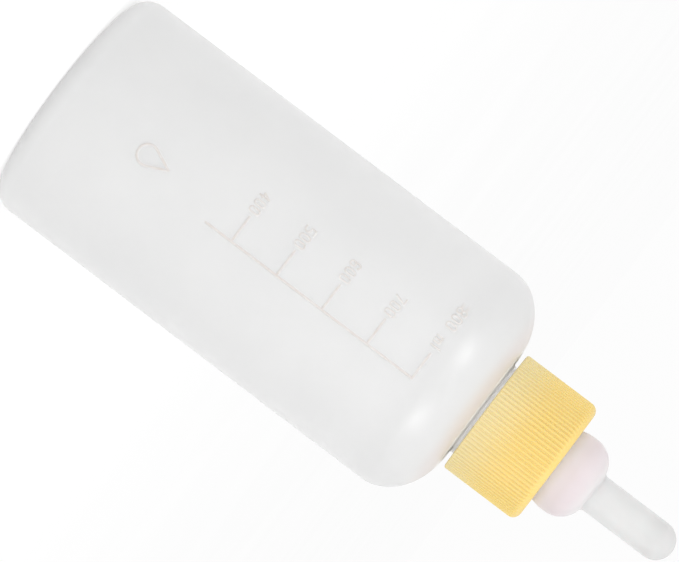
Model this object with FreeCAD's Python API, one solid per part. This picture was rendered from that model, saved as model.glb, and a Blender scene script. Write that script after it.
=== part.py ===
import FreeCAD, Part
import math
import os

# Calf feeding bottle: a blown bottle, a ribbed screw collar, and a soft teat that the
# collar clamps on the bottle's rim. Millimetres, +Z up, origin at the centre of the base.
# The graduated side faces -Y, and the mould's parting line lies in the XZ plane.

# ---- bottle body ----
BODY_RADIUS = 43.0
WALL = 1.5
BASE_CORNER = 7.5
RECESS_RADIUS = 33.0        # concave middle of the base
RECESS_DEPTH = 5.0
WALL_TOP = 156.6            # end of the straight wall, start of the shoulder
SHOULDER_HEIGHT = 18.2
SHOULDER_INNER_RADIUS = 20.05

# ---- bottle neck ----
GROOVE_RADIUS = 17.6        # waist between the shoulder and the threaded neck
GROOVE_HEIGHT = 3.6
NECK_RADIUS = 18.6
MOUTH_RADIUS = 16.2
NECK_HEIGHT = 26.6          # shoulder to rim
ROOT_FILLET = 0.8
RIM_ROUNDING = 0.5

# ---- screw thread, right-handed ----
PITCH = 5.0
THREAD_TURNS = 2.5
THREAD_ROOT_WIDTH = 2.8
THREAD_CREST_WIDTH = 1.2
NECK_THREAD_CREST = 20.0
NECK_THREAD_START = 9.2     # above the shoulder
COLLAR_THREAD_CREST = 19.0
COLLAR_BORE = 20.35
COLLAR_THREAD_START = 4.0   # above the skirt's edge
RUNOUT_DEG = 28.0           # angle over which each thread end ramps away

# ---- collar ----
SKIRT_GAP = 1.6             # shoulder to the skirt's edge
COLLAR_HEIGHT = 30.0
COLLAR_RADIUS = 23.45
RIB_COUNT = 90
RIB_DEPTH = 0.42
TOP_PLATE = 2.4
TOP_ROUNDING = 3.0
SKIRT_ROUNDING = 0.9
HOLE_CLEARANCE = 0.05       # running fit on the teat's waist
HOLE_ROUNDING = 0.5

# ---- teat ----
FLANGE_RADIUS = 20.0
FLANGE_GAP = 0.05
SPIGOT_OUTER = 15.8         # ring that centres the teat in the mouth
SPIGOT_LENGTH = 2.5
WAIST_RADIUS = 14.2
DOME_RADIUS = 14.9
DOME_BULGE_HEIGHT = 4.2     # collar top to the widest level of the dome
DOME_STRAIGHT = 5.8         # collar top to the start of the dome's crown
CROWN_RADIUS = 9.2
TUBE_RADIUS = 6.9
TUBE_FILLET = 1.3
TOTAL_HEIGHT = 254.4
TEAT_WALL = 1.9
BORE_RADIUS = 4.6
TIP_HOLE_RADIUS = 1.1
VENT_WIDTH = 1.4
VENT_DEPTH = 0.6

# ---- relief moulded on the bottle ----
RELIEF = 0.35
LINE_WIDTH = 0.8
SCALE_LINE_X = 6.0
TICK_END_X = -3.9
LABEL_RIGHT_X = -4.9
SCALE_BELOW_FIRST = 10.5
DIGIT_HEIGHT = 4.3
DIGIT_WIDTH = 2.2
DIGIT_STROKE = 0.55
DIGIT_PITCH = 2.85
MARKS_ML = [400, 500, 600, 700, 800]
PARTING_RIDGE = 0.15
PARTING_WIDTH = 0.4
DROP_CENTRE_Z = 38.5
DROP_RADIUS = 3.6
DROP_TIP = 8.6
BITE = 0.2                  # how far a relief reaches into the wall that carries it

SHOULDER_Z = WALL_TOP + SHOULDER_HEIGHT
RIM_Z = SHOULDER_Z + NECK_HEIGHT
SKIRT_Z = SHOULDER_Z + SKIRT_GAP
COLLAR_TOP = SKIRT_Z + COLLAR_HEIGHT
PLATE_UNDER = COLLAR_TOP - TOP_PLATE

Z_AXIS = FreeCAD.Vector(0, 0, 1)


def point(radius, z):
    """A point of a half section, in the XZ plane."""
    return FreeCAD.Vector(radius, 0, z)


def line(a, b):
    return Part.LineSegment(point(*a), point(*b)).toShape()


def arc(centre, radius, start_deg, end_deg):
    """Circular arc in the XZ plane; angles from +X towards +Z."""
    middle_deg = (start_deg + end_deg) / 2
    ends = [on_circle(centre, radius, a) for a in (start_deg, middle_deg, end_deg)]
    return Part.Arc(*[point(*p) for p in ends]).toShape()


def on_circle(centre, radius, deg):
    a = math.radians(deg)
    return (centre[0] + radius * math.cos(a), centre[1] + radius * math.sin(a))


def ellipse_quarter(centre, radial, axial):
    """From (centre + radial) round to (centre + axial), in the XZ plane."""
    major = point(centre[0] + radial, centre[1])
    minor = point(centre[0], centre[1] + axial)
    curve = Part.Ellipse(major, minor, point(*centre))
    start = curve.parameter(major)
    end = curve.parameter(minor)
    if end < start:
        return Part.ArcOfEllipse(curve, end, start).toShape()
    return Part.ArcOfEllipse(curve, start, end).toShape()


def revolve(edges):
    """Solid of revolution about Z from the edges of a closed half section."""
    wire = Part.Wire(Part.__sortEdges__(edges))
    solid = Part.Face(wire).revolve(FreeCAD.Vector(0, 0, 0), Z_AXIS, 360)
    return solid if solid.Volume > 0 else solid.reversed()


def recess_arc(base_z):
    """Shallow spherical recess of the base, from its rim to the axis."""
    sphere = (RECESS_RADIUS ** 2 + RECESS_DEPTH ** 2) / (2 * RECESS_DEPTH)
    rim_deg = math.degrees(math.acos(RECESS_RADIUS / sphere))
    return arc((0, base_z + RECESS_DEPTH - sphere), sphere, rim_deg, 90)


def body_outline(inset, neck_radius, base_z):
    """Half section of the body's outer wall moved inwards by inset, up to the neck's radius."""
    radius = BODY_RADIUS - inset
    corner = BASE_CORNER - inset
    shoulder_radial = radius - SHOULDER_INNER_RADIUS
    shoulder_axial = SHOULDER_HEIGHT - inset
    top = WALL_TOP + shoulder_axial
    corner_centre = (radius - corner, base_z + corner)
    return [
        recess_arc(base_z),
        line((RECESS_RADIUS, base_z), (radius - corner, base_z)),
        arc(corner_centre, corner, -90, 0),
        line((radius, base_z + corner), (radius, WALL_TOP)),
        ellipse_quarter((SHOULDER_INNER_RADIUS, WALL_TOP), shoulder_radial, shoulder_axial),
        line((SHOULDER_INNER_RADIUS, top), (neck_radius, top)),
    ]


def outer_form():
    """The bottle as if it were solid, up to its rim."""
    groove_top = SHOULDER_Z + GROOVE_HEIGHT
    step = NECK_RADIUS - GROOVE_RADIUS
    fillet_centre = (GROOVE_RADIUS + ROOT_FILLET, SHOULDER_Z + ROOT_FILLET)
    rounding_centre = (NECK_RADIUS - RIM_ROUNDING, RIM_Z - RIM_ROUNDING)
    return revolve(body_outline(0, GROOVE_RADIUS + ROOT_FILLET, 0) + [
        arc(fillet_centre, ROOT_FILLET, 270, 180),
        line((GROOVE_RADIUS, SHOULDER_Z + ROOT_FILLET), (GROOVE_RADIUS, groove_top)),
        line((GROOVE_RADIUS, groove_top), (NECK_RADIUS, groove_top + step)),
        line((NECK_RADIUS, groove_top + step), (NECK_RADIUS, RIM_Z - RIM_ROUNDING)),
        arc(rounding_centre, RIM_ROUNDING, 0, 90),
        line((NECK_RADIUS - RIM_ROUNDING, RIM_Z), (0, RIM_Z)),
        line((0, RIM_Z), (0, RECESS_DEPTH)),
    ])


def cavity_form():
    """The space inside the bottle, open through the mouth."""
    under_shoulder = SHOULDER_Z - WALL
    flare = MOUTH_RADIUS + RIM_ROUNDING
    return revolve(body_outline(WALL, MOUTH_RADIUS, WALL) + [
        line((MOUTH_RADIUS, under_shoulder), (MOUTH_RADIUS, RIM_Z - RIM_ROUNDING)),
        arc((flare, RIM_Z - RIM_ROUNDING), RIM_ROUNDING, 180, 90),
        line((flare, RIM_Z), (0, RIM_Z)),
        line((0, RIM_Z), (0, WALL + RECESS_DEPTH)),
    ])


def mark_height(volume_ml, cavity):
    """Height of the liquid's surface at a volume, inside the straight wall."""
    reference_z = WALL_TOP / 2
    inner_radius = BODY_RADIUS - WALL
    block = Part.makeBox(4 * BODY_RADIUS, 4 * BODY_RADIUS, reference_z,
                         FreeCAD.Vector(-2 * BODY_RADIUS, -2 * BODY_RADIUS, 0))
    below_reference = cavity.common(block).Volume
    return reference_z + (volume_ml * 1000 - below_reference) / (math.pi * inner_radius ** 2)


# ---- relief on the graduated side ----

def extruded(face):
    """A face in the XZ plane pushed through the graduated side's wall."""
    depth = BODY_RADIUS / 2
    moved = face.translated(FreeCAD.Vector(0, -BODY_RADIUS - 1, 0))
    return moved.extrude(FreeCAD.Vector(0, depth, 0))


def bar(a, b, width):
    """Straight stroke with round ends, as a solid through the wall."""
    length = math.dist(a, b)
    half = width / 2
    tilt = math.degrees(math.atan2(b[1] - a[1], b[0] - a[0]))
    outline = Part.Wire([
        line((0, -half), (length, -half)),
        arc((length, 0), half, -90, 90),
        line((length, half), (0, half)),
        arc((0, 0), half, 90, 270),
    ])
    face = Part.Face(outline)
    face.rotate(FreeCAD.Vector(0, 0, 0), FreeCAD.Vector(0, -1, 0), tilt)
    return extruded(face.translated(point(*a)))


def bow(centre, radius, start_deg, end_deg, width):
    """Curved stroke, as a solid through the wall."""
    half = width / 2
    inner, outer = radius - half, radius + half
    outline = Part.Wire([
        arc(centre, outer, start_deg, end_deg),
        arc(on_circle(centre, radius, end_deg), half, end_deg, end_deg + 180),
        arc(centre, inner, end_deg, start_deg),
        arc(on_circle(centre, radius, start_deg), half, start_deg + 180, start_deg + 360),
    ])
    return extruded(Part.Face(outline))


def glyph_strokes(character):
    """Strokes of a plain numeral or unit letter: ("bar", a, b) or ("bow", centre, r, from, to)."""
    w = DIGIT_WIDTH - DIGIT_STROKE
    h = DIGIT_HEIGHT - DIGIT_STROKE
    r = w / 2
    mid = h / 2

    def loop(low, high):
        return [("bow", (r, low + r), r, 180, 360), ("bow", (r, high - r), r, 0, 180),
                ("bar", (0, low + r), (0, high - r)), ("bar", (w, low + r), (w, high - r))]

    if character == "0":
        return loop(0, h)
    if character == "8":
        return loop(0, mid) + loop(mid, h)
    if character == "6":
        return loop(0, mid) + [("bar", (0, r), (0, h - r)), ("bow", (r, h - r), r, 25, 180)]
    if character == "5":
        bowl = mid * 0.55
        return [("bar", (w, h), (0, h)), ("bar", (0, h), (0, 2 * bowl)),
                ("bar", (0, 2 * bowl), (w - bowl, 2 * bowl)),
                ("bow", (w - bowl, bowl), bowl, -90, 90), ("bar", (w - bowl, 0), (0, 0))]
    if character == "4":
        stem, crossbar = 0.72 * w, 0.32 * h
        return [("bar", (stem, h), (0, crossbar)), ("bar", (0, crossbar), (w, crossbar)),
                ("bar", (stem, h), (stem, 0))]
    if character == "7":
        return [("bar", (0, h), (w, h)), ("bar", (w, h), (0.3 * w, 0))]
    if character == "m":
        arch = w / 3
        top = 0.62 * h - arch
        stems = [("bar", (x, 0), (x, top)) for x in (2 * arch, 4 * arch)]
        return stems + [("bar", (0, 0), (0, top + arch)),
                        ("bow", (arch, top), arch, 0, 180), ("bow", (3 * arch, top), arch, 0, 180)]
    return [("bar", (r, 0), (r, h))]     # the letter l


def glyph(character, left, bottom):
    """Solids of one character with its lower left corner at (left, bottom)."""
    half = DIGIT_STROKE / 2
    solids = []
    for kind, place, *rest in glyph_strokes(character):
        at = (left + half + place[0], bottom + half + place[1])
        if kind == "bar":
            end = (left + half + rest[0][0], bottom + half + rest[0][1])
            solids.append(bar(at, end, DIGIT_STROKE))
        else:
            solids.append(bow(at, *rest, DIGIT_STROKE))
    return solids


def label(text, right, centre_z):
    """A mark's volume, ending at x = right."""
    solids = []
    left = right - len(text) * DIGIT_PITCH
    for index, character in enumerate(text):
        if character != " ":
            solids += glyph(character, left + index * DIGIT_PITCH, centre_z - DIGIT_HEIGHT / 2)
    return solids


def drop(grow):
    """Plain milk drop, as a solid through the wall."""
    radius = DROP_RADIUS + grow
    tip = (0, DROP_CENTRE_Z + DROP_TIP + 2 * grow)
    centre = (0, DROP_CENTRE_Z)
    touch = math.degrees(math.acos(radius / (tip[1] - centre[1])))
    right = on_circle(centre, radius, 90 - touch)
    left = on_circle(centre, radius, 90 + touch)
    outline = Part.Wire([line(left, tip), line(tip, right),
                         arc(centre, radius, 90 - touch, touch - 270)])
    return extruded(Part.Face(outline))


def relief_form(marks):
    """Everything raised on the graduated side: scale line, ticks, volumes and drop."""
    top = marks[-1][1]
    strokes = [bar((SCALE_LINE_X, marks[0][1] - SCALE_BELOW_FIRST), (SCALE_LINE_X, top), LINE_WIDTH)]
    for volume_ml, z in marks:
        text = str(volume_ml) + (" ml" if volume_ml == MARKS_ML[-1] else "")
        strokes.append(bar((SCALE_LINE_X, z), (TICK_END_X, z), LINE_WIDTH))
        strokes += label(text, LABEL_RIGHT_X, z)
    strokes.append(drop(LINE_WIDTH / 2).cut(drop(-LINE_WIDTH / 2)))
    through = strokes[0].fuse(strokes[1:])
    skin = Part.makeCylinder(BODY_RADIUS + RELIEF, WALL_TOP).cut(
        Part.makeCylinder(BODY_RADIUS - BITE, WALL_TOP))
    return skin.common(through)


def parting_ridges():
    """Fine ridge of the blow mould's parting line, up both sides of the straight wall."""
    low = BASE_CORNER
    outer = Part.makeBox(2 * (BODY_RADIUS + PARTING_RIDGE), PARTING_WIDTH, WALL_TOP - low,
                         FreeCAD.Vector(-BODY_RADIUS - PARTING_RIDGE, -PARTING_WIDTH / 2, low))
    core = Part.makeCylinder(BODY_RADIUS - BITE, WALL_TOP)
    return outer.cut(core)


def pinch_off():
    """Raised weld line of the parison, across the recess of the base."""
    half_length = 0.7 * RECESS_RADIUS
    height = 2 * PARTING_WIDTH
    plate = Part.makeBox(2 * half_length, height, RECESS_DEPTH + WALL,
                         FreeCAD.Vector(-half_length, -height / 2, 0))
    lowered = revolve([
        recess_arc(-PARTING_WIDTH),
        line((0, RECESS_DEPTH - PARTING_WIDTH), (0, RECESS_DEPTH + BITE)),
        recess_arc(BITE),
        line((RECESS_RADIUS, -PARTING_WIDTH), (RECESS_RADIUS, BITE)),
    ])
    return plate.common(lowered)


# ---- screw threads ----

def runout(root, crest, angle_deg, end_z, side):
    """Wedge that ramps a thread's end down to its root. side +1 is the upper end."""
    sign = 1 if crest > root else -1
    past = crest + 3 * sign
    spread = [(root, 0), (crest + 0.1 * sign, -side * RUNOUT_DEG), (past, -side * RUNOUT_DEG),
              (past, side * RUNOUT_DEG / 2), (root, side * RUNOUT_DEG / 2)]
    corners = []
    for radius, turn in spread:
        a = math.radians(angle_deg + turn)
        corners.append(FreeCAD.Vector(radius * math.cos(a), radius * math.sin(a), end_z - PITCH / 2))
    face = Part.Face(Part.makePolygon(corners + corners[:1]))
    return face.extrude(FreeCAD.Vector(0, 0, PITCH))


def thread(root, crest, start_z, start_deg):
    """Helical ridge between two radii, with ramped ends. start_z is its centre line's start."""
    sign = 1 if crest > root else -1
    buried = root - sign * BITE
    outline = Part.makePolygon([
        point(buried, -THREAD_ROOT_WIDTH / 2), point(root, -THREAD_ROOT_WIDTH / 2),
        point(crest, -THREAD_CREST_WIDTH / 2), point(crest, THREAD_CREST_WIDTH / 2),
        point(root, THREAD_ROOT_WIDTH / 2), point(buried, THREAD_ROOT_WIDTH / 2),
        point(buried, -THREAD_ROOT_WIDTH / 2),
    ])
    height = PITCH * THREAD_TURNS
    helix = Part.makeHelix(PITCH, height, root)
    ridge = Part.Wire(helix).makePipeShell([outline], True, True)
    end_deg = 360 * THREAD_TURNS
    ridge = ridge.cut(runout(root, crest, 0, 0, -1))
    ridge = ridge.cut(runout(root, crest, end_deg, height, 1))
    ridge.rotate(FreeCAD.Vector(0, 0, 0), Z_AXIS, start_deg)
    return ridge.translated(FreeCAD.Vector(0, 0, start_z))


# ---- the three pieces ----

def make_bottle():
    cavity = cavity_form()
    marks = [(volume_ml, mark_height(volume_ml, cavity)) for volume_ml in MARKS_ML]
    for volume_ml, z in marks:
        print("mark", volume_ml, "ml at z =", round(z, 2))
    print("brimful volume", round(cavity.Volume / 1000), "ml")
    solid = outer_form().cut(cavity)
    neck_thread = thread(NECK_RADIUS, NECK_THREAD_CREST, SHOULDER_Z + NECK_THREAD_START, 0)
    return solid.fuse([neck_thread, relief_form(marks), parting_ridges(), pinch_off()])


def ribbed_prism():
    """Prism with the collar's rib outline."""
    step = 2 * math.pi / RIB_COUNT
    valley = COLLAR_RADIUS - RIB_DEPTH
    corners = []
    for index in range(RIB_COUNT):
        for turn, radius in ((0.0, valley), (0.18, valley), (0.42, COLLAR_RADIUS), (0.76, COLLAR_RADIUS)):
            a = (index + turn) * step
            corners.append(FreeCAD.Vector(radius * math.cos(a), radius * math.sin(a), SKIRT_Z))
    face = Part.Face(Part.makePolygon(corners + corners[:1]))
    return face.extrude(FreeCAD.Vector(0, 0, COLLAR_HEIGHT))


def make_collar():
    hole = WAIST_RADIUS + HOLE_CLEARANCE
    top_centre = (COLLAR_RADIUS - TOP_ROUNDING, COLLAR_TOP - TOP_ROUNDING)
    skirt_centre = (COLLAR_RADIUS - SKIRT_ROUNDING, SKIRT_Z + SKIRT_ROUNDING)
    edge_centre = (hole + HOLE_ROUNDING, COLLAR_TOP - HOLE_ROUNDING)
    chamfer = COLLAR_BORE + HOLE_ROUNDING
    envelope = revolve([
        line((chamfer, SKIRT_Z), (skirt_centre[0], SKIRT_Z)),
        arc(skirt_centre, SKIRT_ROUNDING, -90, 0),
        line((COLLAR_RADIUS, skirt_centre[1]), (COLLAR_RADIUS, top_centre[1])),
        arc(top_centre, TOP_ROUNDING, 0, 90),
        line((top_centre[0], COLLAR_TOP), (edge_centre[0], COLLAR_TOP)),
        arc(edge_centre, HOLE_ROUNDING, 90, 180),
        line((hole, edge_centre[1]), (hole, PLATE_UNDER)),
        line((hole, PLATE_UNDER), (COLLAR_BORE, PLATE_UNDER)),
        line((COLLAR_BORE, PLATE_UNDER), (COLLAR_BORE, SKIRT_Z + HOLE_ROUNDING)),
        line((COLLAR_BORE, SKIRT_Z + HOLE_ROUNDING), (chamfer, SKIRT_Z)),
    ])
    shell = envelope.common(ribbed_prism())
    start_z = SKIRT_Z + COLLAR_THREAD_START
    neck_thread_z = SHOULDER_Z + NECK_THREAD_START
    lead = (start_z - neck_thread_z - PITCH / 2) / PITCH * 360     # half a pitch from the neck's
    return shell.fuse(thread(COLLAR_BORE, COLLAR_THREAD_CREST, start_z, lead))


def tangent_fillet(crown_centre, crown_radius, tube_radius, fillet):
    """Where the fillet between the crown and the tube is centred, and its start angle."""
    centre_r = tube_radius + fillet
    reach = crown_radius + fillet
    rise = math.sqrt(reach ** 2 - (centre_r - crown_centre[0]) ** 2)
    centre = (centre_r, crown_centre[1] + rise)
    towards_crown = math.degrees(math.atan2(-rise, crown_centre[0] - centre_r)) % 360
    return centre, towards_crown


def teat_outline(inset, tube_radius, tip_z):
    """Half section of the teat's skin moved inwards by inset, from the dome's widest level to the tip."""
    widest_z = COLLAR_TOP + DOME_BULGE_HEIGHT
    crown_z = COLLAR_TOP + DOME_STRAIGHT
    crown_centre = (DOME_RADIUS - CROWN_RADIUS, crown_z)
    crown_radius = CROWN_RADIUS - inset
    fillet = TUBE_FILLET + inset
    fillet_centre, towards_crown = tangent_fillet(crown_centre, crown_radius, tube_radius, fillet)
    return [
        line((DOME_RADIUS - inset, widest_z), (DOME_RADIUS - inset, crown_z)),
        arc(crown_centre, crown_radius, 0, towards_crown - 180),
        arc(fillet_centre, fillet, towards_crown, 180),
        line((tube_radius, fillet_centre[1]), (tube_radius, tip_z - tube_radius)),
        arc((0, tip_z - tube_radius), tube_radius, 0, 90),
    ]


def make_teat():
    flange_top = PLATE_UNDER - FLANGE_GAP
    widest_z = COLLAR_TOP + DOME_BULGE_HEIGHT
    inner_radius = DOME_RADIUS - TEAT_WALL
    spigot_z = RIM_Z - SPIGOT_LENGTH
    bulge = Part.Arc(point(WAIST_RADIUS, COLLAR_TOP),
                     point(DOME_RADIUS - (DOME_RADIUS - WAIST_RADIUS) / 4,
                           COLLAR_TOP + DOME_BULGE_HEIGHT / 2),
                     point(DOME_RADIUS, widest_z)).toShape()
    skin = revolve(teat_outline(0, TUBE_RADIUS, TOTAL_HEIGHT) + [
        bulge,
        line((WAIST_RADIUS, COLLAR_TOP), (WAIST_RADIUS, flange_top)),
        line((WAIST_RADIUS, flange_top), (FLANGE_RADIUS, flange_top)),
        line((FLANGE_RADIUS, flange_top), (FLANGE_RADIUS, RIM_Z)),
        line((FLANGE_RADIUS, RIM_Z), (SPIGOT_OUTER, RIM_Z)),
        line((SPIGOT_OUTER, RIM_Z), (SPIGOT_OUTER, spigot_z)),
        line((SPIGOT_OUTER, spigot_z), (0, spigot_z)),
        line((0, spigot_z), (0, TOTAL_HEIGHT)),
    ])
    inner_tip = TOTAL_HEIGHT - (TUBE_RADIUS - BORE_RADIUS)
    hollow = revolve(teat_outline(TEAT_WALL, BORE_RADIUS, inner_tip) + [
        line((inner_radius, widest_z), (inner_radius, spigot_z)),
        line((inner_radius, spigot_z), (0, spigot_z)),
        line((0, spigot_z), (0, inner_tip)),
    ])
    tip_hole = Part.makeCylinder(TIP_HOLE_RADIUS, TUBE_RADIUS,
                                 FreeCAD.Vector(0, 0, TOTAL_HEIGHT - TUBE_RADIUS + 1))
    vent = Part.makeBox(VENT_WIDTH, FLANGE_RADIUS, VENT_DEPTH,
                        FreeCAD.Vector(-VENT_WIDTH / 2, SPIGOT_OUTER, RIM_Z))
    return skin.cut(hollow).cut(tip_hole).cut(vent)


os.makedirs("parts", exist_ok=True)
for name, shape in (("bottle", make_bottle()), ("collar", make_collar()), ("teat", make_teat())):
    solid = shape.removeSplitter()
    solids = solid.Solids
    print(name, "solids", len(solids), "valid", solid.isValid(), "volume", round(solid.Volume),
          "faces", len(solid.Faces))
    solids[0].exportStep("parts/" + name + ".step")
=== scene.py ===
import math

import bpy
import numpy as np
from mathutils import Matrix, Vector


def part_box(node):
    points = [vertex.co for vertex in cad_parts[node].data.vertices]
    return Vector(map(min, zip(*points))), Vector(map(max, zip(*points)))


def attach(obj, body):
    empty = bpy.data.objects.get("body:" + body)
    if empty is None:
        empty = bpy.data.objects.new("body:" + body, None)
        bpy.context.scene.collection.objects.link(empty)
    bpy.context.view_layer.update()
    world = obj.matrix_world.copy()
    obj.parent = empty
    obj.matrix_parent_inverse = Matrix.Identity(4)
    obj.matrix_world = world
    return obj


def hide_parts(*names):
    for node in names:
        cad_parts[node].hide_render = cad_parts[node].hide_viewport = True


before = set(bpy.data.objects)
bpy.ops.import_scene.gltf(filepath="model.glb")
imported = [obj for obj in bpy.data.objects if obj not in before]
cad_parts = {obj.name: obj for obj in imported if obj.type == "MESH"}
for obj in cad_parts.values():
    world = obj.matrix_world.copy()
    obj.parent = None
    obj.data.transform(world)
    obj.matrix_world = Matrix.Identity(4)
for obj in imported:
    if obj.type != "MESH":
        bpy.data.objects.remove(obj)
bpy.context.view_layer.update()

MM = 0.001

# ---- sizes read from the CAD frame ----
_, BOTTLE_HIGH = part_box("bottle")
COLLAR_LOW, COLLAR_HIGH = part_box("collar")
TEAT_LOW, TEAT_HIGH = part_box("teat")

# ---- bottle, metres ----
PARTING_RIDGE = 0.15 * MM           # height of the mould's parting line
PARTING_CREST = 0.1 * MM            # its half width at the crest, and at the foot
PARTING_FOOT = 0.3 * MM
BODY_RADIUS = BOTTLE_HIGH.x - PARTING_RIDGE
RIM_Z = BOTTLE_HIGH.z
WALL = 1.5 * MM
BASE_CORNER = 7.5 * MM
PARTING_LOW_Z = 0.5 * BASE_CORNER
RECESS_RADIUS = 33 * MM
RECESS_DEPTH = 5 * MM
NECK_HEIGHT = 26.6 * MM
SHOULDER_Z = RIM_Z - NECK_HEIGHT
SHOULDER_HEIGHT = 18.2 * MM
SHOULDER_INNER_RADIUS = 20.05 * MM
WALL_TOP = SHOULDER_Z - SHOULDER_HEIGHT
GROOVE_RADIUS = 17.6 * MM
GROOVE_HEIGHT = 3.6 * MM
NECK_RADIUS = 18.6 * MM
MOUTH_RADIUS = 16.2 * MM
ROOT_FILLET = 0.8 * MM
RIM_ROUNDING = 0.5 * MM
SKIN_DEPTH = 0.2 * WALL             # a point no deeper than this is on the outside of the body
SHOULDER_SKIN_DEPTH = 0.4 * WALL    # the same for the shoulder, measured downwards
ON_THREAD_BED = 0.05 * MM           # a point this near the thread's own cylinder lies on it
THREAD_END_CLEAR = 1 * MM           # no thread this near the rim or the collar's top plate

# ---- screw thread ----
PITCH = 5 * MM
THREAD_TURNS = 2.5
THREAD_ROOT_WIDTH = 2.8 * MM
THREAD_CREST_WIDTH = 1.2 * MM
NECK_THREAD_CREST = 20 * MM
NECK_THREAD_START = 9.2 * MM
COLLAR_THREAD_CREST = 19 * MM
COLLAR_THREAD_START = 4 * MM
RUNOUT_DEG = 28

# ---- collar ----
COLLAR_RADIUS = COLLAR_HIGH.x
SKIRT_Z = COLLAR_LOW.z
COLLAR_TOP = COLLAR_HIGH.z
COLLAR_BORE = 20.35 * MM
RIB_COUNT = 90
RIB_DEPTH = 0.42 * MM
VALLEY_END = 0.18           # shares of one rib's width
CREST_START = 0.42
CREST_END = 0.76
RIB_COLUMNS = (0.0, VALLEY_END, 0.26, CREST_START, 0.59, CREST_END, 0.92)
TOP_PLATE = 2.4 * MM
TOP_ROUNDING = 3.0 * MM
SKIRT_ROUNDING = 0.9 * MM
HOLE_RADIUS = 14.25 * MM
HOLE_ROUNDING = 0.5 * MM

# ---- teat ----
FLANGE_RADIUS = TEAT_HIGH.x
FLANGE_CLEAR = 0.05 * MM
FLANGE_TOP = COLLAR_TOP - TOP_PLATE - FLANGE_CLEAR
SPIGOT_Z = TEAT_LOW.z
SPIGOT_OUTER = 15.8 * MM
WAIST_RADIUS = 14.2 * MM
DOME_RADIUS = 14.9 * MM
DOME_WIDEST = COLLAR_TOP + 4.2 * MM
CROWN_Z = COLLAR_TOP + 5.8 * MM
CROWN_RADIUS = 9.2 * MM
TUBE_RADIUS = 6.9 * MM
TUBE_FILLET = 1.3 * MM
TEAT_WALL = 1.9 * MM
BORE_RADIUS = 4.6 * MM
TIP_HOLE_RADIUS = 1.1 * MM
TIP_Z = COLLAR_TOP + 48.0 * MM

# ---- relief on the graduated side; x runs from the middle of the front ----
RELIEF = 0.35 * MM
RELIEF_EDGE = 0.16 * MM
LINE_HALF = 0.4 * MM
SCALE_LINE_X = 6 * MM
TICK_END_X = -3.9 * MM
LABEL_RIGHT_X = -4.9 * MM
SCALE_BELOW_FIRST = 10.5 * MM
FIRST_MARK_Z = 77.4 * MM
HUNDRED_ML = 1e-4                   # cubic metres
MARK_STEP = HUNDRED_ML / (math.pi * (BODY_RADIUS - WALL) ** 2)
MARKS_ML = [400, 500, 600, 700, 800]
DIGIT_HEIGHT = 4.3 * MM
DIGIT_WIDTH = 2.2 * MM
DIGIT_STROKE = 0.55 * MM
DIGIT_PITCH = 2.85 * MM
DROP_CENTRE_Z = 38.5 * MM
DROP_RADIUS = 3.6 * MM
DROP_TIP = 8.6 * MM

# ---- mesh density ----
RELIEF_GRID = 0.2 * MM              # columns and rows under the relief
RELIEF_LEFT_X = -23 * MM
RELIEF_RIGHT_X = 7 * MM
LABEL_MARGIN = 0.6 * MM             # fine rows above and below the relief
DROP_MARGIN = 0.8 * MM
SCALE_END_MARGIN = 1.0 * MM
COARSE_COLUMNS = 84
COARSE_ROW = 4 * MM
PARTING_COLUMN = 0.12 * MM
PARTING_CLEAR = 0.9 * MM            # no coarse column this near the parting line
NECK_ROW = 0.4 * MM
COLLAR_BORE_ROW = 0.6 * MM
TUBE_ROW = 3 * MM
TEAT_COLUMNS = 128
SAME_POINT = 1e-7
SHARP_EDGE_DEG = 40

# ---- base colours, linear; a pair is mottled from one to the other ----
# Milky walls let light through, more or less of it with height. The steps between the plain
# colours are painted light and shade at fixed heights: painted shade at the shoulder, painted
# shade warmed by a painted bounce from the collar at the shoulder's top, and a painted light
# band in the neck's waist.
MILKY_BODY = ((0.668, 0.669, 0.669), (0.688, 0.688, 0.686))
# painted shade: the shoulder a little darker than the body
SHOULDER_PAINTED_SHADE = (0.622, 0.622, 0.621)
# painted shade under the collar, warmed by a painted bounce of light from the collar
SHOULDER_TOP_PAINTED_BOUNCE_AND_SHADE = (0.605, 0.558, 0.548)
# painted light: a bright band in the neck's waist, where the gap under the collar lies in shade
WAIST_PAINTED_LIGHT = (0.930, 0.910, 0.900)
MILKY_NECK = (0.640, 0.636, 0.632)
# a darker warm tint on the crests of the moulded relief
RELIEF_DARK_TINT = ((0.550, 0.495, 0.465), (0.585, 0.550, 0.530))
RELIEF_TINT_COVER = 0.9                          # how far the darker warm tint covers the relief's crests
YELLOW_PLAIN = ((0.700, 0.523, 0.182), (0.720, 0.541, 0.200))
# painted light: the collar paler towards its skirt
YELLOW_SKIRT_PAINTED_LIGHT = (0.68, 0.575, 0.31)
# painted light: the dome's foot lighter, against the shade of the collar's edge
TEAT_FOOT_PAINTED_LIGHT = (0.628, 0.600, 0.632)
TEAT_DOME = ((0.570, 0.518, 0.533), (0.585, 0.534, 0.548))
TEAT_TUBE = ((0.590, 0.590, 0.588), (0.605, 0.605, 0.602))
# painted shade: the tube's tip duller, against the softboxes' highlight
TEAT_TIP_PAINTED_SHADE = (0.52, 0.52, 0.518)
FLOOR_WHITE = ((0.375, 0.375, 0.375), (0.385, 0.385, 0.385))

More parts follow.
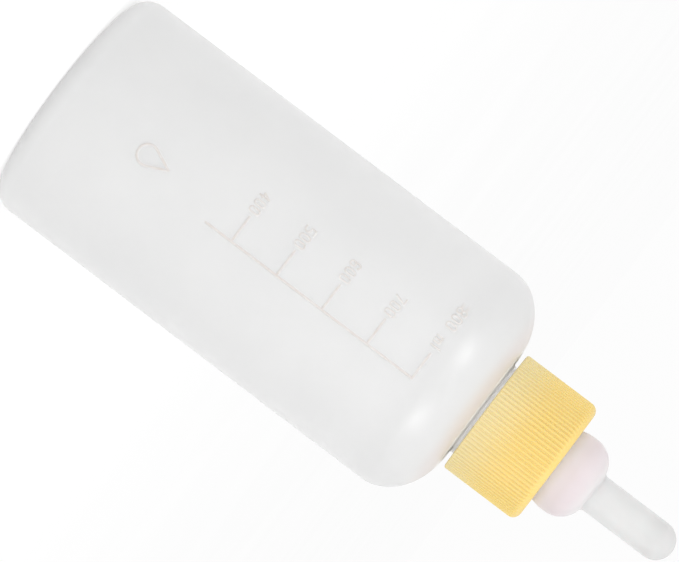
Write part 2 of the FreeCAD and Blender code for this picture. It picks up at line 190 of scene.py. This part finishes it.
# ---- heights over which one of these colours blends into the next ----
SHOULDER_FADE = (WALL_TOP - 14 * MM, WALL_TOP + 6 * MM)
WARM_TOP_FADE = (SHOULDER_Z - 6 * MM, SHOULDER_Z - 1 * MM)
WAIST_FADE = (SHOULDER_Z - 0.8 * MM, SHOULDER_Z - 0.2 * MM)
NECK_FADE = (SHOULDER_Z + 2.2 * MM, SHOULDER_Z + 3.4 * MM)
SKIRT_FADE = (SKIRT_Z, SKIRT_Z + 18 * MM)
DOME_FADE = (COLLAR_TOP, COLLAR_TOP + 8 * MM)
TUBE_FADE = (CROWN_Z + 3 * MM, CROWN_Z + 12 * MM)
TIP_FADE = (TIP_Z - 16 * MM, TIP_Z)

# ---- studio, metres, degrees and watts ----
BACKDROP_LEVEL = 0.98
FLOOR_GLOW = 0.6                    # the table is a lit white panel
FLOOR_RINGS = (0, 0.5, 2, 8, 40)
FLOOR_COLUMNS = 64
STRIP_SIZE = (0.40, 0.95)
STRIP_DISTANCE = 1.6
STRIP_POWER = 8.0
STRIP_ELEVATION = 27
STRIP_AZIMUTHS = {"softbox_left": -32, "softbox_right": 46}
INNER_LAMP_RADIUS = 3 * MM
INNER_GLOW = (                      # light that milky walls let through: height, watts
    (30 * MM, 0.002), (65 * MM, 0.002), (100 * MM, 0.002), (180 * MM, 0.009),
)
CAMERA_HEIGHT = 192.8 * MM
CAMERA_DISTANCE = 1435.3 * MM
CAMERA_PITCH = 3.262                # downwards
CAMERA_YAW = -0.206
CAMERA_LEAN = 37.102                # the bottle's top points this far below the horizontal
CAMERA_LENS = 227                   # on a sensor 36 wide, both in millimetres
CAMERA_SENSOR = 36
CAMERA_FAR = 100


# ======================================================================
# Profiles: lists of (radius, height) points
# ======================================================================

def arc(centre, radius, start_deg, end_deg, steps):
    """Points of a circular arc, both ends included."""
    angles = np.radians(np.linspace(start_deg, end_deg, steps + 1))
    return [(centre[0] + radius * math.cos(a), centre[1] + radius * math.sin(a))
            for a in angles]


def quarter_ellipse(centre, radial, axial, steps):
    """From the widest point up to the top of an ellipse."""
    angles = np.linspace(0, math.pi / 2, steps + 1)
    return [(centre[0] + radial * math.cos(a), centre[1] + axial * math.sin(a))
            for a in angles]


def run(start, end, spacing):
    """Points between two ends, neither included, about spacing apart."""
    count = max(1, round(math.dist(start, end) / spacing))
    return [tuple(np.array(start) + (np.array(end) - np.array(start)) * i / count)
            for i in range(1, count)]


def joined(*parts):
    """One profile from several, without doubled points."""
    points = []
    for part in parts:
        for p in part:
            if not points or math.dist(points[-1], p) > SAME_POINT:
                points.append(p)
    return points


def recess(base_z, steps):
    """Spherical recess of the base, from the axis out to its rim."""
    sphere = (RECESS_RADIUS ** 2 + RECESS_DEPTH ** 2) / (2 * RECESS_DEPTH)
    rim_deg = math.degrees(math.acos(RECESS_RADIUS / sphere))
    points = arc((0, base_z + RECESS_DEPTH - sphere), sphere, 90, rim_deg, steps)
    return [(0, base_z + RECESS_DEPTH)] + points[1:]


# ======================================================================
# Lathe: a profile turned about Z, with a shift of each point
# ======================================================================

def lathe(name, profile, angles, shift=None, tint=None, closed=False):
    """A mesh turned from a profile. Angle 0 is at -Y, and angles grow towards +X.

    On arrays of radius, z and angle, shift gives the change of radius, and tint gives the
    values of the point attribute "print", a 0 to 1 mask for the material. closed joins the
    profile's last point to its first.
    """
    profile = np.array(profile)
    angles = np.array(angles)
    radius, angle = np.meshgrid(profile[:, 0], angles, indexing="ij")
    height = np.meshgrid(profile[:, 1], angles, indexing="ij")[0]
    mask = np.zeros_like(radius) if tint is None else tint(radius, height, angle)
    if shift is not None:
        radius = radius + shift(radius, height, angle)
    grid = np.stack([radius * np.sin(angle), -radius * np.cos(angle), height], axis=-1)
    columns = len(angles)
    rows = len(profile)
    vertices = []
    values = []
    index = np.zeros((rows, columns), int)
    for row in range(rows):
        if profile[row, 0] == 0:
            index[row] = len(vertices)
            vertices.append((0, 0, profile[row, 1]))
            values.append(0.0)
        else:
            index[row] = np.arange(columns) + len(vertices)
            vertices.extend(grid[row])
            values.extend(mask[row])
    faces = []
    for row in range(rows if closed else rows - 1):
        low, high = index[row], index[(row + 1) % rows]
        for column in range(columns):
            after = (column + 1) % columns
            face = [low[column], low[after], high[after], high[column]]
            faces.append(list(dict.fromkeys(face)))
    mesh = bpy.data.meshes.new(name)
    mesh.from_pydata(vertices, [], faces)
    if tint is not None:
        mesh.attributes.new("relief_crest", "FLOAT", "POINT").data.foreach_set("value", values)
    mesh.shade_smooth()
    mesh.set_sharp_from_angle(angle=math.radians(SHARP_EDGE_DEG))
    mesh.update()
    piece = bpy.data.objects.new(name, mesh)
    bpy.context.scene.collection.objects.link(piece)
    return piece


def even_angles(count):
    """Angles of evenly spread columns, once round."""
    return [2 * math.pi * i / count for i in range(count)]


# ======================================================================
# Height fields: threads, ribs and moulded relief
# ======================================================================

def smoothstep(low, high, value):
    """0 at low, 1 at high, and smooth in between. low may be the larger of the two."""
    t = np.clip((value - low) / (high - low), 0, 1)
    return t * t * (3 - 2 * t)


def thread_shift(z, angle, start_z, start_angle, depth):
    """Ridge of a helical thread, with ramped ends. start_angle is measured from +X."""
    turned = angle - math.pi / 2 - start_angle
    best = np.zeros_like(z)
    flank = (THREAD_ROOT_WIDTH - THREAD_CREST_WIDTH) / 2
    ramp = math.radians(RUNOUT_DEG)
    length = 2 * math.pi * THREAD_TURNS
    wraps = math.ceil(THREAD_TURNS) + 2     # whole turns tried each way, for any start
    for wrap in range(-wraps, wraps + 1):
        along = turned + 2 * math.pi * wrap
        off_centre = np.abs(z - start_z - PITCH * along / (2 * math.pi))
        ridge = np.clip((THREAD_ROOT_WIDTH / 2 - off_centre) / flank, 0, 1)
        ends = np.clip(along / ramp, 0, 1) * np.clip((length - along) / ramp, 0, 1)
        best = np.maximum(best, ridge * ends ** 2)
    return depth * best


def bar_distance(x, z, a, b):
    """Distance of points to a straight stroke's centre line."""
    ax, az = a
    dx, dz = b[0] - ax, b[1] - az
    t = np.clip(((x - ax) * dx + (z - az) * dz) / (dx * dx + dz * dz), 0, 1)
    return np.hypot(x - ax - t * dx, z - az - t * dz)


def bow_distance(x, z, centre, radius, start_deg, end_deg):
    """Distance of points to a curved stroke's centre line."""
    around = (np.degrees(np.arctan2(z - centre[1], x - centre[0])) - start_deg) % 360
    on_arc = np.abs(np.hypot(x - centre[0], z - centre[1]) - radius)
    ends = arc(centre, radius, start_deg, end_deg, 1)
    to_ends = np.minimum(*[np.hypot(x - p[0], z - p[1]) for p in ends])
    return np.where(around <= end_deg - start_deg, on_arc, to_ends)


def glyph_strokes(character):
    """Strokes of a plain numeral or unit letter, from its lower left corner.

    A stroke is (bar_distance, a, b) or (bow_distance, centre, radius, start_deg, end_deg).
    """
    w = DIGIT_WIDTH - DIGIT_STROKE
    h = DIGIT_HEIGHT - DIGIT_STROKE
    r = w / 2
    mid = h / 2

    def bar(a, b):
        return (bar_distance, a, b)

    def bow(centre, radius, start_deg, end_deg):
        return (bow_distance, centre, radius, start_deg, end_deg)

    def loop(low, high):
        return [bow((r, low + r), r, 180, 360), bow((r, high - r), r, 0, 180),
                bar((0, low + r), (0, high - r)), bar((w, low + r), (w, high - r))]

    if character == "0":
        return loop(0, h)
    if character == "8":
        return loop(0, mid) + loop(mid, h)
    if character == "6":
        return loop(0, mid) + [bar((0, r), (0, h - r)), bow((r, h - r), r, 25, 180)]
    if character == "5":
        bowl = mid * 0.55
        return [bar((w, h), (0, h)), bar((0, h), (0, 2 * bowl)),
                bar((0, 2 * bowl), (w - bowl, 2 * bowl)),
                bow((w - bowl, bowl), bowl, -90, 90), bar((w - bowl, 0), (0, 0))]
    if character == "4":
        stem, crossbar = 0.72 * w, 0.32 * h
        return [bar((stem, h), (0, crossbar)), bar((0, crossbar), (w, crossbar)),
                bar((stem, h), (stem, 0))]
    if character == "7":
        foot = 0.3 * w
        return [bar((0, h), (w, h)), bar((w, h), (foot, 0))]
    if character == "m":
        arch = w / 3
        top = 0.62 * h - arch
        stems = [bar((x, 0), (x, top)) for x in (2 * arch, 4 * arch)]
        return stems + [bar((0, 0), (0, top + arch)), bow((arch, top), arch, 0, 180),
                        bow((3 * arch, top), arch, 0, 180)]
    return [bar((r, 0), (r, h))]     # the letter l


def stroke_height(distance, half_width):
    """Soft-edged moulded ridge over a stroke."""
    return RELIEF * (1 - smoothstep(half_width - RELIEF_EDGE, half_width + RELIEF_EDGE, distance))


def mark_heights():
    """Heights of the scale's marks, lowest first."""
    return [FIRST_MARK_Z + MARK_STEP * i for i in range(len(MARKS_ML))]


def scale_relief(x, z):
    """Height of the scale line, its ticks and its numbers."""
    marks = mark_heights()
    lines = [((SCALE_LINE_X, marks[0] - SCALE_BELOW_FIRST), (SCALE_LINE_X, marks[-1]))]
    lines += [((SCALE_LINE_X, mark), (TICK_END_X, mark)) for mark in marks]
    height = np.zeros_like(x)
    for a, b in lines:
        height = np.maximum(height, stroke_height(bar_distance(x, z, a, b), LINE_HALF))
    for volume_ml, mark in zip(MARKS_ML, marks):
        text = str(volume_ml) + (" ml" if volume_ml == MARKS_ML[-1] else "")
        left = LABEL_RIGHT_X - len(text) * DIGIT_PITCH + DIGIT_STROKE / 2
        bottom = mark - DIGIT_HEIGHT / 2 + DIGIT_STROKE / 2
        for place, character in enumerate(text):
            if character == " ":
                continue
            for distance, *where in glyph_strokes(character):
                away = distance(x - left - place * DIGIT_PITCH, z - bottom, *where)
                height = np.maximum(height, stroke_height(away, DIGIT_STROKE / 2))
    return height


def drop_relief(x, z):
    """Height of the plain drop outline."""
    centre = (0, DROP_CENTRE_Z)
    tip = (0, DROP_CENTRE_Z + DROP_TIP)
    touch = math.degrees(math.acos(DROP_RADIUS / DROP_TIP))
    right, left = [arc(centre, DROP_RADIUS, 90 + side * touch, 0, 1)[0] for side in (-1, 1)]
    away = bow_distance(x, z, centre, DROP_RADIUS, 90 + touch, 360 + 90 - touch)
    for side in (right, left):
        away = np.minimum(away, bar_distance(x, z, side, tip))
    return stroke_height(away, LINE_HALF)


# ======================================================================
# The bottle
# ======================================================================

def bottle_angles():
    """Fine columns under the relief and at the parting line, coarse ones elsewhere."""
    left, right = RELIEF_LEFT_X / BODY_RADIUS, RELIEF_RIGHT_X / BODY_RADIUS
    fine = list(np.arange(left, right, RELIEF_GRID / BODY_RADIUS))
    coarse = list(np.linspace(fine[-1], 2 * math.pi + left, COARSE_COLUMNS)[1:-1])
    ridge = [PARTING_COLUMN / BODY_RADIUS * i for i in (-3, -2, -1, 0, 1, 2, 3)]
    clear = PARTING_CLEAR / BODY_RADIUS
    sides = (math.pi / 2, 3 * math.pi / 2)
    kept = [a for a in coarse if all(abs(a - side) > clear for side in sides)]
    return sorted(fine + kept + [side + r for side in sides for r in ridge])


def wall_heights():
    """Rows of the straight wall, close together where the relief has detail."""
    rows = list(np.arange(BASE_CORNER, WALL_TOP, COARSE_ROW))
    bands = [(mark, DIGIT_HEIGHT / 2 + LABEL_MARGIN) for mark in mark_heights()]
    drop_middle = DROP_CENTRE_Z + (DROP_TIP - DROP_RADIUS) / 2
    bands.append((drop_middle, (DROP_TIP + DROP_RADIUS) / 2 + DROP_MARGIN))
    bands.append((mark_heights()[0] - SCALE_BELOW_FIRST, SCALE_END_MARGIN))
    for middle, half in bands:
        rows = [z for z in rows if abs(z - middle) > half + RELIEF_GRID]
        rows += list(np.arange(middle - half, middle + half, RELIEF_GRID))
    return sorted(z for z in rows if BASE_CORNER < z < WALL_TOP - RELIEF_GRID)


def body_relief(radius, z, angle):
    """Height of the scale and the drop, on the front of the straight wall's outside."""
    x = BODY_RADIUS * np.sin(angle)
    front = np.cos(angle) > 0
    on_wall = (radius > BODY_RADIUS - SKIN_DEPTH) & (z > BASE_CORNER) & (z < WALL_TOP)
    return np.maximum(scale_relief(x, z), drop_relief(x, z)) * front * on_wall


def bottle_shift(radius, z, angle):
    """Relief, parting line and neck thread on the outer surface only."""
    from_parting = np.abs(np.cos(angle)) * radius
    outside = ((radius > BODY_RADIUS - SKIN_DEPTH) & (z > PARTING_LOW_Z)) | (
        (z > WALL_TOP) & (z < SHOULDER_Z + GROOVE_HEIGHT) & outer_shoulder(radius, z))
    parting = PARTING_RIDGE * (1 - smoothstep(PARTING_CREST, PARTING_FOOT, from_parting)) * outside
    on_neck = (np.abs(radius - NECK_RADIUS) < ON_THREAD_BED) & (z > SHOULDER_Z) & (
        z < RIM_Z - THREAD_END_CLEAR)
    thread = thread_shift(z, angle, SHOULDER_Z + NECK_THREAD_START, 0,
                          NECK_THREAD_CREST - NECK_RADIUS)
    return body_relief(radius, z, angle) + parting + thread * on_neck


def bottle_tint(radius, z, angle):
    """1 on the crests of the relief."""
    return body_relief(radius, z, angle) / RELIEF


def outer_shoulder(radius, z):
    """True on the outside of the shoulder, and not on its inside."""
    out = np.clip((radius - SHOULDER_INNER_RADIUS) / (BODY_RADIUS - SHOULDER_INNER_RADIUS), 0, 1)
    top = WALL_TOP + SHOULDER_HEIGHT * np.sqrt(1 - out ** 2)
    return z > top - SHOULDER_SKIN_DEPTH


def body_profile(inset, base_z, top_radius):
    """Half section of the body, from the middle of the base to the shoulder's inner edge."""
    radius = BODY_RADIUS - inset
    corner = BASE_CORNER - inset
    if inset == 0:
        rows, shoulder_steps, base_steps = wall_heights(), 26, 12
    else:
        rows, shoulder_steps, base_steps = [BASE_CORNER + WALL, WALL_TOP / 2], 12, 6
    shoulder = quarter_ellipse((SHOULDER_INNER_RADIUS, WALL_TOP), radius - SHOULDER_INNER_RADIUS,
                               SHOULDER_HEIGHT - inset, shoulder_steps)
    return joined(
        recess(base_z, base_steps),
        [(radius - corner, base_z)],
        arc((radius - corner, base_z + corner), corner, -90, 0, base_steps),
        [(radius, z) for z in rows],
        shoulder,
        [(top_radius, WALL_TOP + SHOULDER_HEIGHT - inset)],
    )


def make_bottle():
    """Blown shell: the outside from the base to the mouth, then the inside back down."""
    groove_top = SHOULDER_Z + GROOVE_HEIGHT
    thread_low = groove_top + NECK_RADIUS - GROOVE_RADIUS
    thread_high = RIM_Z - RIM_ROUNDING
    outside = joined(
        body_profile(0, 0, GROOVE_RADIUS + ROOT_FILLET),
        arc((GROOVE_RADIUS + ROOT_FILLET, SHOULDER_Z + ROOT_FILLET), ROOT_FILLET, 270, 180, 6),
        [(GROOVE_RADIUS, groove_top), (NECK_RADIUS, thread_low)],
        run((NECK_RADIUS, thread_low), (NECK_RADIUS, thread_high), NECK_ROW),
        arc((NECK_RADIUS - RIM_ROUNDING, thread_high), RIM_ROUNDING, 0, 90, 5),
        arc((MOUTH_RADIUS + RIM_ROUNDING, thread_high), RIM_ROUNDING, 90, 180, 5),
    )
    inside = body_profile(WALL, WALL, MOUTH_RADIUS)
    profile = joined(outside, reversed(inside))
    return lathe("bottle_body", profile, bottle_angles(), bottle_shift, bottle_tint)


# ======================================================================
# The collar
# ======================================================================

def collar_angles():
    """Seven columns to a rib: valley, flank, crest, flank."""
    step = 2 * math.pi / RIB_COUNT
    return [math.pi / 2 + (i + t) * step for i in range(RIB_COUNT) for t in RIB_COLUMNS]


def collar_shift(radius, z, angle):
    """Valleys between the ribs outside, and the thread inside."""
    step = 2 * math.pi / RIB_COUNT
    turn = ((angle - math.pi / 2) / step) % 1
    valley = smoothstep(CREST_START, VALLEY_END, turn) + smoothstep(CREST_END, 1.0, turn)
    fade = np.clip((radius - COLLAR_RADIUS + RIB_DEPTH) / RIB_DEPTH, 0, 1)
    ribs = -RIB_DEPTH * np.clip(valley, 0, 1) * fade
    on_bore = (np.abs(radius - COLLAR_BORE) < ON_THREAD_BED) & (z > SKIRT_Z + HOLE_ROUNDING) & (
        z < COLLAR_TOP - TOP_PLATE - THREAD_END_CLEAR)
    start_z = SKIRT_Z + COLLAR_THREAD_START
    # the ridge runs midway between two turns of the neck's
    lead = (start_z - SHOULDER_Z - NECK_THREAD_START - PITCH / 2) / PITCH * 2 * math.pi
    thread = thread_shift(z, angle, start_z, lead, COLLAR_BORE - COLLAR_THREAD_CREST)
    return ribs - thread * on_bore


def make_collar():
    """Screw cap: skirt, ribbed outside and top plate, then the teat's hole and the bore."""
    plate_under = COLLAR_TOP - TOP_PLATE
    top = arc((COLLAR_RADIUS - TOP_ROUNDING, COLLAR_TOP - TOP_ROUNDING),
              TOP_ROUNDING, 0, 90, 9)
    skirt = arc((COLLAR_RADIUS - SKIRT_ROUNDING, SKIRT_Z + SKIRT_ROUNDING),
                SKIRT_ROUNDING, -90, 0, 5)
    hole = arc((HOLE_RADIUS + HOLE_ROUNDING, COLLAR_TOP - HOLE_ROUNDING),
               HOLE_ROUNDING, 90, 180, 4)
    bore_low = (COLLAR_BORE, SKIRT_Z + HOLE_ROUNDING)
    bore_high = (COLLAR_BORE, plate_under)
    profile = joined(
        skirt, top, hole,
        [(HOLE_RADIUS, plate_under), bore_high],
        run(bore_high, bore_low, COLLAR_BORE_ROW),
        [bore_low, (COLLAR_BORE + HOLE_ROUNDING, SKIRT_Z)],
    )
    return lathe("collar_shell", profile, collar_angles(), collar_shift, closed=True)


# ======================================================================
# The teat
# ======================================================================

def teat_skin(inset, tube_radius, tip_z, hole_radius, steps):
    """Profile of the teat's outer or inner skin, from the crown's foot to the tip hole."""
    crown = (DOME_RADIUS - CROWN_RADIUS, CROWN_Z)
    crown_radius = CROWN_RADIUS - inset
    fillet = TUBE_FILLET + inset
    fillet_r = tube_radius + fillet
    rise = math.sqrt((crown_radius + fillet) ** 2 - (fillet_r - crown[0]) ** 2)
    towards_crown = math.degrees(math.atan2(-rise, crown[0] - fillet_r)) % 360
    tip_centre = (0, tip_z - tube_radius)
    tip_deg = math.degrees(math.acos(hole_radius / tube_radius))
    return joined(
        arc(crown, crown_radius, 0, towards_crown - 180, 2 * steps),
        arc((fillet_r, CROWN_Z + rise), fillet, towards_crown, 180, steps),
        run((tube_radius, CROWN_Z + rise), (tube_radius, tip_centre[1]), TUBE_ROW),
        arc(tip_centre, tube_radius, 0, tip_deg, 2 * steps),
    )


def make_teat():
    """Hollow skin: ring and flange in the collar, waist, dome and tube, then back inside."""
    inner_tip_z = TIP_Z - TUBE_RADIUS + BORE_RADIUS
    outer = teat_skin(0, TUBE_RADIUS, TIP_Z, TIP_HOLE_RADIUS, steps=10)
    inner = teat_skin(TEAT_WALL, BORE_RADIUS, inner_tip_z, TIP_HOLE_RADIUS, steps=8)
    bulge = [(WAIST_RADIUS + (DOME_RADIUS - WAIST_RADIUS) * math.sin(t * math.pi / 2),
              COLLAR_TOP + (DOME_WIDEST - COLLAR_TOP) * t) for t in np.linspace(0, 1, 7)]
    inner_radius = DOME_RADIUS - TEAT_WALL
    profile = joined(
        [(inner_radius, SPIGOT_Z), (SPIGOT_OUTER, SPIGOT_Z), (SPIGOT_OUTER, RIM_Z),
         (FLANGE_RADIUS, RIM_Z), (FLANGE_RADIUS, FLANGE_TOP), (WAIST_RADIUS, FLANGE_TOP)],
        bulge, outer, reversed(inner), [(inner_radius, COLLAR_TOP)],
    )
    return lathe("teat_skin", profile, even_angles(TEAT_COLUMNS), closed=True)


# ======================================================================
# Materials
# ======================================================================

class Nodes:
    """A short way to build a node material."""

    def __init__(self, name):
        self.material = bpy.data.materials.new(name)
        self.material.use_nodes = True
        self.tree = self.material.node_tree
        self.shader = next(n for n in self.tree.nodes if n.type == "BSDF_PRINCIPLED")

    def add(self, kind, inputs=None, **settings):
        node = self.tree.nodes.new(kind)
        for key, value in settings.items():
            setattr(node, key, value)
        for key, value in (inputs or {}).items():
            self.put(value, node.inputs[key])
        return node

    def put(self, value, socket):
        """Link another node's socket, or set a plain value."""
        if isinstance(value, bpy.types.NodeSocket):
            self.tree.links.new(value, socket)
        else:
            socket.default_value = value

    def set(self, **values):
        """Inputs of the material's shader, with _ for each space in a name."""
        for key, value in values.items():
            self.put(value, self.shader.inputs[key.replace("_", " ")])

    def place(self, stretch=(1, 1, 1)):
        """Object coordinates in metres, stretched."""
        coordinates = self.add("ShaderNodeTexCoord").outputs["Object"]
        return self.add("ShaderNodeMapping", {"Vector": coordinates, "Scale": stretch}).outputs[0]

    def noise(self, where, scale, detail=3.0, roughness=0.5):
        """A soft random pattern, mostly between 0.35 and 0.65."""
        return self.add("ShaderNodeTexNoise", {"Vector": where, "Scale": scale, "Detail": detail,
                                               "Roughness": roughness}).outputs["Fac"]

    def spread(self, value, low, high, start=0.35, stop=0.65):
        """A 0 to 1 pattern spread between two numbers."""
        return self.add("ShaderNodeMapRange", {"Value": value, "From Min": start, "From Max": stop,
                                               "To Min": low, "To Max": high}).outputs[0]

    def climb(self, low, high):
        """0 to 1 between two heights."""
        coordinates = self.add("ShaderNodeTexCoord").outputs["Object"]
        height = self.add("ShaderNodeSeparateXYZ", {"Vector": coordinates}).outputs["Z"]
        return self.add("ShaderNodeMapRange", {"Value": height, "From Min": low, "From Max": high},
                        interpolation_type="SMOOTHSTEP").outputs[0]

    def mix(self, factor, a, b):
        """Colour a at 0 and b at 1. Sockets 6 and 7 of the mix node are its two colours."""
        a, b = ((*c, 1) if isinstance(c, tuple) else c for c in (a, b))
        return self.add("ShaderNodeMix", {"Factor": factor, 6: a, 7: b},
                        data_type="RGBA").outputs[2]

    def mottle(self, pattern, colours):
        """A pair of colours, mixed along a noise pattern."""
        return self.mix(self.spread(pattern, 0, 1), *colours)

    def stack(self, fade, under, over):
        """One colour under another, blended between the two heights of fade."""
        return self.mix(self.climb(*fade), under, over)

    def bump(self, height, strength, distance, below=None):
        """A normal bent by a pattern, on top of another bump where one is given."""
        node = self.add("ShaderNodeBump", {"Height": height, "Strength": strength,
                                           "Distance": distance})
        if below is not None:
            self.put(below, node.inputs["Normal"])
        return node.outputs[0]


def bottle_material():
    """Milky blown polyethylene: faint upright draw lines, a fine orange peel, a darker warm tint
    on the relief's crests.

    Its tint changes with height as painted light and shade: painted shade at the shoulder,
    painted shade warmed by a painted bounce from the collar above, and a painted light band in
    the neck's waist.
    """
    n = Nodes("milky_plastic")
    place = n.place()
    drawn = n.noise(n.place((1, 1, 0.04)), 260, 2.0)
    peel = n.noise(place, 900, 2.0)
    body = n.mottle(n.noise(place, 28, 3.0), MILKY_BODY)
    # painted shade at the shoulder
    shoulder = n.stack(SHOULDER_FADE, body, SHOULDER_PAINTED_SHADE)
    # painted shade at the shoulder's top, warmed by a painted bounce from the collar
    warm = n.stack(WARM_TOP_FADE, shoulder, SHOULDER_TOP_PAINTED_BOUNCE_AND_SHADE)
    # painted light band in the neck's waist
    waist = n.stack(WAIST_FADE, warm, WAIST_PAINTED_LIGHT)
    neck = n.stack(NECK_FADE, waist, MILKY_NECK)
    raised = n.add("ShaderNodeAttribute", attribute_name="relief_crest").outputs["Fac"]
    # darker warm tint on the relief's crests
    crest_colour = n.mottle(n.noise(place, 420, 2.0), RELIEF_DARK_TINT)
    crest_share = n.add("ShaderNodeMath", {0: raised, 1: RELIEF_TINT_COVER}, operation="MULTIPLY").outputs[0]
    n.set(Base_Color=n.mix(crest_share, neck, crest_colour),
          Roughness=n.spread(n.noise(place, 120, 3.0), 0.30, 0.38),
          Normal=n.bump(peel, 0.12, 0.06 * MM, n.bump(drawn, 0.10, 0.20 * MM)),
          Subsurface_Weight=0.9, Subsurface_Radius=(0.007, 0.007, 0.007), Subsurface_Scale=1.0,
          IOR=1.5)
    return n.material


def collar_material():
    """Moulded yellow plastic with a soft gloss, and painted light making it paler towards the
    skirt.
    """
    n = Nodes("yellow_plastic")
    place = n.place()
    grain = n.noise(place, 1400, 2.0)
    plain_yellow = n.mottle(n.noise(place, 60, 3.0), YELLOW_PLAIN)
    # painted light, paler towards the skirt
    n.set(Base_Color=n.stack(SKIRT_FADE, YELLOW_SKIRT_PAINTED_LIGHT, plain_yellow),
          Roughness=n.spread(n.noise(place, 200, 3.0), 0.38, 0.48), Specular_IOR_Level=0.14,
          Normal=n.bump(grain, 0.05, 0.03 * MM),
          Subsurface_Weight=0.25, Subsurface_Radius=(0.004, 0.003, 0.0012),
          Subsurface_Scale=1.0, IOR=1.5)
    return n.material


def teat_material():
    """Soft silicone: a little pink in the dome, grey-white in the tube.

    Painted light makes the dome's foot lighter, and painted shade makes the tip duller.
    """
    n = Nodes("soft_silicone")
    place = n.place()
    cloud = n.noise(place, 90, 3.0)
    # painted light at the dome's foot
    dome = n.stack(DOME_FADE, TEAT_FOOT_PAINTED_LIGHT, n.mottle(cloud, TEAT_DOME))
    # painted shade towards the tip
    tube = n.stack(TIP_FADE, n.mottle(cloud, TEAT_TUBE), TEAT_TIP_PAINTED_SHADE)
    n.set(Base_Color=n.stack(TUBE_FADE, dome, tube),
          Roughness=n.spread(n.noise(place, 300, 3.0), 0.40, 0.50), Specular_IOR_Level=0.35,
          Normal=n.bump(n.noise(place, 700, 2.0), 0.10, 0.06 * MM),
          Subsurface_Weight=0.8, Subsurface_Radius=(0.006, 0.005, 0.005), Subsurface_Scale=1.0,
          IOR=1.41)
    return n.material


def floor_material():
    """Matt white with a glow of its own."""
    n = Nodes("studio_white")
    n.set(Base_Color=n.mottle(n.noise(n.place(), 3, 2.0), FLOOR_WHITE),
          Roughness=0.9, Specular_IOR_Level=0.0,
          Emission_Color=(1, 1, 1, 1), Emission_Strength=FLOOR_GLOW)
    return n.material


# ======================================================================
# Studio
# ======================================================================

def make_floor():
    """A disc far wider than the view, so that it meets the backdrop out of sight."""
    floor = lathe("studio_floor", [(r, 0) for r in FLOOR_RINGS], even_angles(FLOOR_COLUMNS))
    floor.data.materials.append(floor_material())


def strip_light(name, azimuth_deg):
    """Tall softbox aimed at the shoulder. Azimuth 0 is -Y, the camera's side, and 90 is +X."""
    a, e = math.radians(azimuth_deg), math.radians(STRIP_ELEVATION)
    towards = Vector((math.sin(a) * math.cos(e), -math.cos(a) * math.cos(e), math.sin(e)))
    data = bpy.data.lights.new(name, "AREA")
    data.shape = "RECTANGLE"
    data.size, data.size_y = STRIP_SIZE
    data.energy = STRIP_POWER
    light = bpy.data.objects.new(name, data)
    light.location = Vector((0, 0, SHOULDER_Z)) + towards * STRIP_DISTANCE
    light.rotation_euler = towards.to_track_quat("Z", "Y").to_euler()
    bpy.context.scene.collection.objects.link(light)


def inner_light(height, watts):
    """Small lamp on the axis inside the bottle."""
    data = bpy.data.lights.new("inner_glow", "POINT")
    data.energy = watts
    data.shadow_soft_size = INNER_LAMP_RADIUS
    light = bpy.data.objects.new("inner_glow", data)
    light.location = (0, 0, height)
    light.visible_camera = False
    bpy.context.scene.collection.objects.link(light)


def make_lights():
    """Even white surroundings, two softboxes, and the lamps inside the bottle."""
    world = bpy.data.worlds.new("soft_white")
    world.use_nodes = True
    background = world.node_tree.nodes["Background"]
    background.inputs["Color"].default_value = (1, 1, 1, 1)
    background.inputs["Strength"].default_value = BACKDROP_LEVEL
    bpy.context.scene.world = world
    for name, azimuth in STRIP_AZIMUTHS.items():
        strip_light(name, azimuth)
    for height, watts in INNER_GLOW:
        inner_light(height, watts)
    bpy.context.scene.view_settings.view_transform = "Standard"


def make_camera():
    """A long lens level with the collar, rolled so that the bottle lies across the frame."""
    pitch, yaw, lean = (math.radians(d) for d in (CAMERA_PITCH, CAMERA_YAW, CAMERA_LEAN))
    forward = Vector((math.sin(yaw) * math.cos(pitch), math.cos(yaw) * math.cos(pitch),
                      -math.sin(pitch)))
    level = forward.cross(Vector((0, 0, 1))).normalized()
    above = level.cross(forward)
    right = above * math.cos(lean) - level * math.sin(lean)
    up = -level * math.cos(lean) - above * math.sin(lean)
    data = bpy.data.cameras.new("camera")
    data.sensor_width = CAMERA_SENSOR
    data.lens = CAMERA_LENS
    data.clip_end = CAMERA_FAR
    camera = bpy.data.objects.new("camera", data)
    camera.matrix_world = Matrix.Translation((0, -CAMERA_DISTANCE, CAMERA_HEIGHT)) @ Matrix(
        (right, up, -forward)).transposed().to_4x4()
    bpy.context.scene.collection.objects.link(camera)
    bpy.context.scene.camera = camera


# ======================================================================
# Assembly
# ======================================================================

make_camera()
make_lights()
make_floor()
for piece, node, slot, material in (
    (make_bottle(), "bottle", "bottle_plastic", bottle_material()),
    (make_collar(), "collar", "collar_plastic", collar_material()),
    (make_teat(), "teat", "teat_silicone", teat_material()),
):
    piece.data.materials.append(material)
    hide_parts(node)
    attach(piece, node)
